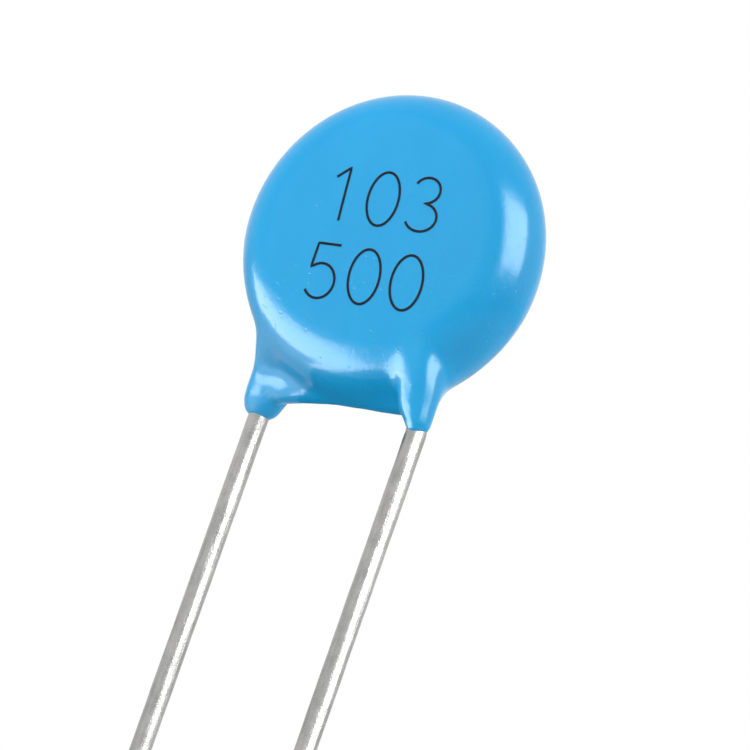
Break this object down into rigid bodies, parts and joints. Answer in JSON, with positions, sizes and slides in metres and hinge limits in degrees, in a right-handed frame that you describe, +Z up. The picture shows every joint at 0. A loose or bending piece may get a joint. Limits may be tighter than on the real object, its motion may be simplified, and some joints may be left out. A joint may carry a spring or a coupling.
{
  "type": "ceramic disc capacitor",
  "caption": "Round dipped ceramic disc capacitor with a glossy blue epoxy coat and straight tinned wire leads for through-hole mounting.",
  "frame": {"origin": "midway between the two leads, on the plane where the coat's longer leg meets the circuit board", "axes": "+Z up from the board through the disc, leads along -Z; the front face, with the print, looks along -Y; +X towards the front lead"},
  "size_m": [0.012, 0.004, 0.0381],
  "materials": {
    "epoxy": "glossy dipped sky-blue epoxy with a slightly uneven surface",
    "dielectric": "matt fired brown ceramic",
    "silver": "thin fired silver, matt",
    "tinned_wire": "hot-tinned copper wire, satin and slightly uneven",
    "ink": "thin black printing ink",
    "solder": "dull soft solder"
  },
  "bodies": {
    "root": {"epoxy_coat": "epoxy", "ceramic_disc": "dielectric", "electrode_front": "silver", "electrode_rear": "silver", "lead_front": "tinned_wire", "lead_rear": "tinned_wire", "solder_front": "solder", "solder_rear": "solder"}
  },
  "joints": []
}
